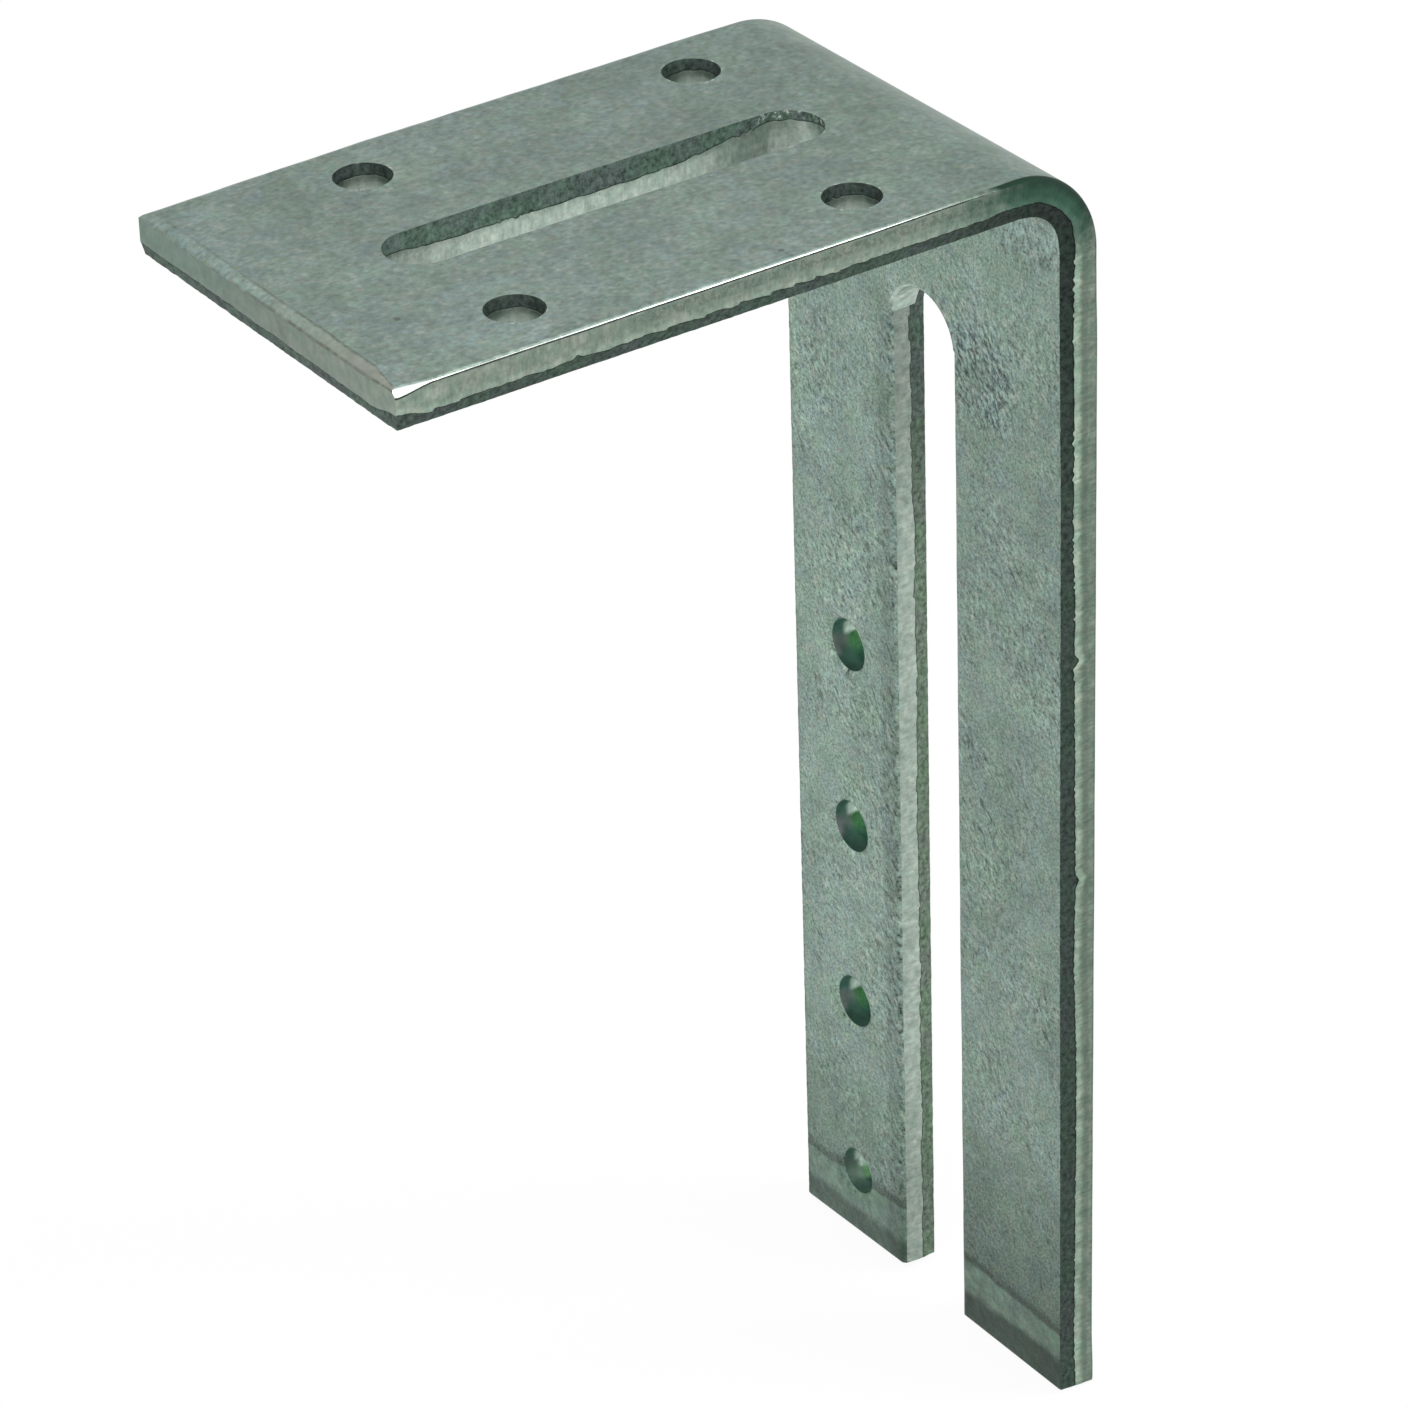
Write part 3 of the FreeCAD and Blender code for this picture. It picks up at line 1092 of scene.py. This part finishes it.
# The fold's painted greenish reflection covers the front lip there too.
reflected_lip = product(fade(painted_fold_reflection, 0.2, 0.8), fade(shine, 0.1, 0.3))
lip_colour = tinted(reflected_lip, lip_colour, reflected_lip_colour)
on_seat = fade(smooth_tone, 1.76, 1.82)
seat_lip = product(on_seat, fade(place_x, 2.0, -1.0), fade(place_z, 0.5, 3.5))
lip_colour = tinted(seat_lip, lip_colour, smooth_colour)
# The bevel's brightness is painted: white in a wedge at the free end's corner and dimmer elsewhere,
# setting how strong the highlight shows.
highlight_wedge = fade(place_y, -102.5, -105.5)
painted_highlight_level = between(fade(place_y, -86.0, -72.0), 0.4, fade(place_y, -45.0, -18.0, 1.0, 0.25))
painted_highlight_level = between(fade(place_y, -104.0, -98.0), 1.0, painted_highlight_level)
painted_highlight_level = product(painted_highlight_level, uneven(streaks, 0.9), 0.85)
bevel_colour = times(tinted(highlight_wedge, bevel_grey, painted_wedge_white), painted_highlight_level)
lip_colour = tinted(product(on_bevel, fade(painted_fold_reflection, 0.3, 0.0)), lip_colour, bevel_colour)
# A painted shade line along the foot of the front lip, under the highlight.
painted_shade_line = product(
    shine,
    window(lip_place, 1.95, 2.0, 2.14, 2.3),
    fade(sweeps, 0.3, 0.55, 0.6, 0.95),
    fade(painted_fold_reflection, 0.5, 0.1),
)
# Painted shade lines along the free end lip's creases, at its start and at its foot.
upper_crease_shade = window(sums("ADD", lip_place, swing(smears, 0.5)), -0.2, 0.0, 0.1, 0.32)
lower_crease_shade = window(lip_place, 0.8, 0.95, 2.0, 2.2)
painted_crease_shade = product(
    creased,
    sums("MAXIMUM", upper_crease_shade, lower_crease_shade),
    fade(place_x, -30.0, 15.0, 0.2, 0.75),
    fade(sweeps, 0.35, 0.6, 0.2, 1.0),
)
by_burred_rim = sums(
    "MAXIMUM", fade(sums("ABSOLUTE", place_x), 12.0, 14.0), fade(place_y, -34.0, -29.0)
)
rim_burrs = product(
    window(lip_place, -0.9, -0.65, -0.45, -0.3),
    fade(crumble, 0.52, 0.58),
    fade(smears, 0.52, 0.58),
    fade(inner, 0.6, 0.4),
    by_burred_rim,
)
colour = layered(
    face_colour,
    (rim_burrs, dull_burr),
    (on_lip, lip_colour),
    (on_flank, smooth_colour),
    (torn, torn_colour),
    (painted_shade_line, painted_shade_line_colour),
    (painted_crease_shade, crease_shade_colour),
)

outer_roughness = fade(outer_grain, 0.3, 0.7, 0.38, 0.46)
inner_roughness = fade(strokes, 0.3, 0.7, 0.42, 0.52)
flank_roughness, torn_roughness, hole_roughness, reflection_roughness = 0.4, 0.62, 0.7, 0.6
bevel_roughness = between(highlight_wedge, fade(sweeps, 0.35, 0.65, 0.16, 0.28), 0.4)
roughness = between(inner, outer_roughness, inner_roughness)
roughness = between(on_flank, roughness, flank_roughness)
roughness = between(torn, roughness, torn_roughness)
roughness = between(product(green, on_flank), roughness, hole_roughness)
roughness = between(on_bevel, roughness, bevel_roughness)
roughness = between(product(reflected_lip, on_lip), roughness, reflection_roughness)

relief_depth = 0.04
inner_relief = sums("SUBTRACT", between(0.4, strokes, fine_grain), product(scuff_amount, 0.6))
face_relief = between(inner, product(outer_grain, 0.25), inner_relief)
relief_height = product(face_relief, sums("SUBTRACT", 1.0, on_flank))
relief_height = sums("ADD", relief_height, product(streaks, on_flank, 0.4))
relief_height = sums("ADD", relief_height, product(crumble, torn, 1.5))
relief = zinc_node("ShaderNodeBump")
plug(relief_height, relief.inputs["Height"])
plug(relief_depth * MM, relief.inputs["Distance"])

surface = zinc_node("ShaderNodeBsdfPrincipled")
plug(colour, surface.inputs["Base Color"])
plug(roughness, surface.inputs["Roughness"])
plug(relief.outputs[0], surface.inputs["Normal"])
surface.inputs["Metallic"].default_value = 1.0
zinc_node("ShaderNodeOutputMaterial", surface.outputs[0])
plate_mesh.materials.append(zinc)

# The floor: a wide pale board at the tips' level, painted matt white. It shows white to the
# camera and in the zinc, and keeps a soft shadow under the anchor.
floor_reach = 6.0
floor_gap = 0.2 * MM
floor_level = lowest.z - floor_gap
floor_grey = (0.9, 0.9, 0.9, 1)
floor_glow = 1.05
floor_glow_share = 0.88
floor_mesh = bpy.data.meshes.new("floor_board")
corners = [(-1, -1), (1, -1), (1, 1), (-1, 1)]
floor_mesh.from_pydata(
    [(x * floor_reach, y * floor_reach, floor_level) for x, y in corners], [], [(0, 1, 2, 3)]
)
floor_board = bpy.data.objects.new("floor_board", floor_mesh)
bpy.context.collection.objects.link(floor_board)


def seen_directly(tree):
    """1 for a ray from the camera or one reflected or sent on by the object, else 0."""
    path = tree.nodes.new("ShaderNodeLightPath")
    seen = path.outputs["Is Camera Ray"]
    for name in ("Is Glossy Ray", "Is Transmission Ray"):
        either = tree.nodes.new("ShaderNodeMath")
        either.operation = "MAXIMUM"
        tree.links.new(seen, either.inputs[0])
        tree.links.new(path.outputs[name], either.inputs[1])
        seen = either.outputs[0]
    return seen


def mix_by_sight(tree, full, unseen, seen, output_kind):
    """Leads two shaders to the output: where it is seen directly, a full share of the second."""
    share = tree.nodes.new("ShaderNodeMath")
    share.operation = "MULTIPLY"
    share.inputs[1].default_value = full
    tree.links.new(seen_directly(tree), share.inputs[0])
    mix = tree.nodes.new("ShaderNodeMixShader")
    output = tree.nodes.new(output_kind)
    for number, shader in enumerate((share, unseen, seen)):
        tree.links.new(shader.outputs[0], mix.inputs[number])
    tree.links.new(mix.outputs[0], output.inputs[0])


white_paint = bpy.data.materials.new("white_floor_paint")
white_paint.use_nodes = True
paint_tree = white_paint.node_tree
paint_tree.nodes.clear()
matt = paint_tree.nodes.new("ShaderNodeBsdfDiffuse")
matt.inputs["Color"].default_value = floor_grey
glow = paint_tree.nodes.new("ShaderNodeEmission")
glow.inputs["Strength"].default_value = floor_glow
mix_by_sight(paint_tree, floor_glow_share, matt, glow, "ShaderNodeOutputMaterial")
floor_mesh.materials.append(white_paint)

# The light: a white room, a soft lamp overhead on the right, which draws the bright line along the
# lips, and a wider one over the camera.
room_strength = 0.55
room = bpy.data.worlds.new("white_room")
bpy.context.scene.world = room
room.use_nodes = True
room_tree = room.node_tree
room_tree.nodes.clear()
room_light = room_tree.nodes.new("ShaderNodeBackground")
room_light.inputs["Color"].default_value = (1, 1, 1, 1)
room_light.inputs["Strength"].default_value = room_strength
room_white = room_tree.nodes.new("ShaderNodeBackground")
room_white.inputs["Color"].default_value = (1, 1, 1, 1)
mix_by_sight(room_tree, 1.0, room_light, room_white, "ShaderNodeOutputWorld")


def soft_lamp(name, direction, distance, width, watts):
    """A square lamp that faces the anchor from a direction."""
    lamp = bpy.data.lights.new(name, "AREA")
    lamp.shape = "SQUARE"
    lamp.size = width
    lamp.energy = watts
    holder = bpy.data.objects.new(name, lamp)
    middle = (lowest + highest) / 2
    holder.location = middle + Vector(direction).normalized() * distance
    holder.rotation_euler = Vector(direction).to_track_quat("Z", "Y").to_euler()
    bpy.context.collection.objects.link(holder)


soft_lamp("overhead_lamp", (0.4, 0.5, 0.77), distance=1.2, width=0.4, watts=3.0)
soft_lamp("front_lamp", (0.9, -0.6, 0.8), distance=1.4, width=0.8, watts=4.0)

# The camera: a long lens above and to the right of the anchor's inner corner, as in the photo.
lens_length = 163.06
eye = Vector((635.13, -468.59, 402.09)) * MM
view_azimuth, view_elevation, view_roll = (math.radians(a) for a in (56.224, 30.387, -1.834))
lens = bpy.data.cameras.new("camera")
lens.lens = lens_length
camera = bpy.data.objects.new("camera", lens)
camera.matrix_world = (
    Matrix.Translation(eye)
    @ Matrix.Rotation(view_azimuth, 4, "Z")
    @ Matrix.Rotation(math.pi / 2 - view_elevation, 4, "X")
    @ Matrix.Rotation(view_roll, 4, "Z")
)
bpy.context.collection.objects.link(camera)
bpy.context.scene.camera = camera
bpy.context.scene.view_settings.view_transform = "Standard"
